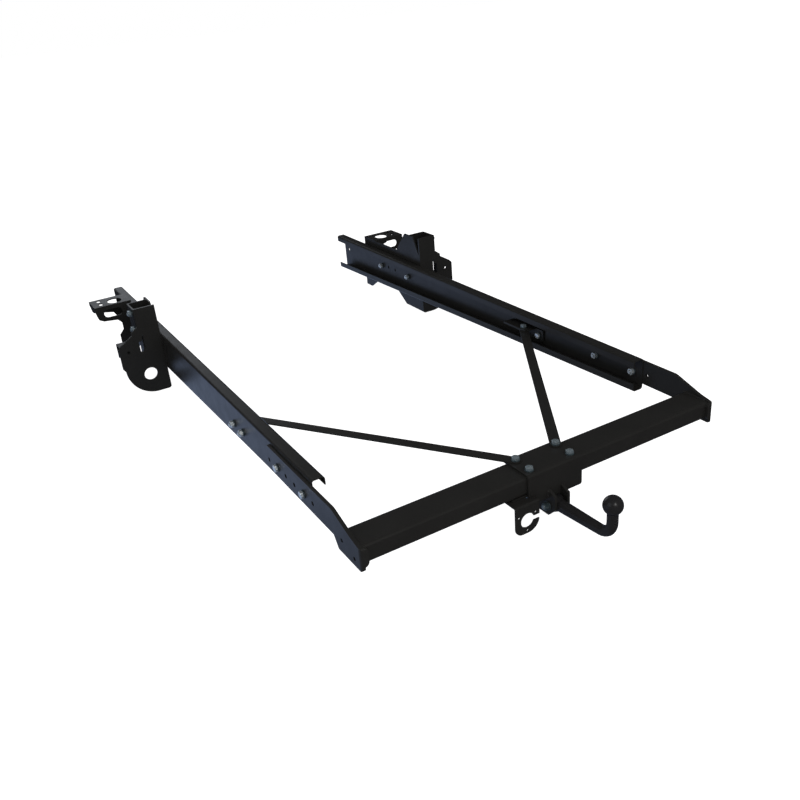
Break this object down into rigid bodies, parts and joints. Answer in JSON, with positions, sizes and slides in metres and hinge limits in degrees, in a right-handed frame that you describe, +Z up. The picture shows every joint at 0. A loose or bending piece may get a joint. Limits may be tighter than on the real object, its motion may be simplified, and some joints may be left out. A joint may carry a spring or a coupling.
{
  "type": "trailer hitch",
  "caption": "Towing hitch with a swan-neck ball bolted under a cross beam, two long chassis rails with diagonal braces and front brackets, and a swinging socket plate.",
  "frame": {"origin": "centre of the coupling ball", "axes": "+Y forward along the vehicle, from the ball to the rails' front ends; +Z up; +X to the vehicle's right"},
  "size_m": [1.418, 2.425, 0.323],
  "materials": {
    "black_coat": "satin black powder coat",
    "neck_coat": "smooth semi-gloss black coat on a forging",
    "zinc": "bright zinc plate"
  },
  "bodies": {
    "hitch": {"ball_neck": "neck_coat", "beam_sleeves": "zinc", "brace_angle_bolts": "zinc", "brace_angle_nuts": "zinc", "brace_angle_washers": "zinc", "brace_bolts": "zinc", "brace_nuts": "zinc", "brace_washers": "zinc", "bracket_bolts": "zinc", "bracket_nuts": "zinc", "bracket_washers": "zinc", "cross_beam": "black_coat", "hood_bolts": "zinc", "hood_nuts": "zinc", "hood_washers": "zinc", "left_arm_web": "black_coat", "left_brace": "black_coat", "left_brace_angle": "black_coat", "left_bracket_arm": "black_coat", "left_bracket_hood": "black_coat", "left_bracket_side_plate": "black_coat", "left_cheek": "black_coat", "left_eye_gusset": "black_coat", "left_eye_ledge": "black_coat", "left_eye_plate": "black_coat", "left_rail": "black_coat", "left_side_plate": "black_coat", "lower_clamp_plate": "black_coat", "neck_bolts": "zinc", "neck_nuts": "zinc", "neck_washers": "zinc", "right_arm_web": "black_coat", "right_brace": "black_coat", "right_brace_angle": "black_coat", "right_bracket_arm": "black_coat", "right_bracket_hood": "black_coat", "right_bracket_side_plate": "black_coat", "right_cheek": "black_coat", "right_eye_gusset": "black_coat", "right_eye_ledge": "black_coat", "right_eye_plate": "black_coat", "right_rail": "black_coat", "right_side_plate": "black_coat", "saddle_front_bolts": "zinc", "saddle_front_nuts": "zinc", "saddle_front_washers": "zinc", "saddle_plate": "black_coat", "saddle_rear_bolts": "zinc", "saddle_rear_nuts": "zinc", "saddle_rear_washers": "zinc", "side_plate_bolts": "zinc", "side_plate_nuts": "zinc", "side_plate_washers": "zinc", "socket_pivot_bolt": "zinc", "socket_pivot_nut": "zinc", "socket_pivot_washer": "zinc"},
    "socket_plate": {"socket_plate": "black_coat"}
  },
  "joints": [
    {"name": "socket_plate_swing", "type": "hinge", "parent": "hitch", "child": "socket_plate", "pos_m": [-0.112, 0.242, -0.05], "axis": [0, 0, -1], "range_deg": [0, 90]}
  ]
}
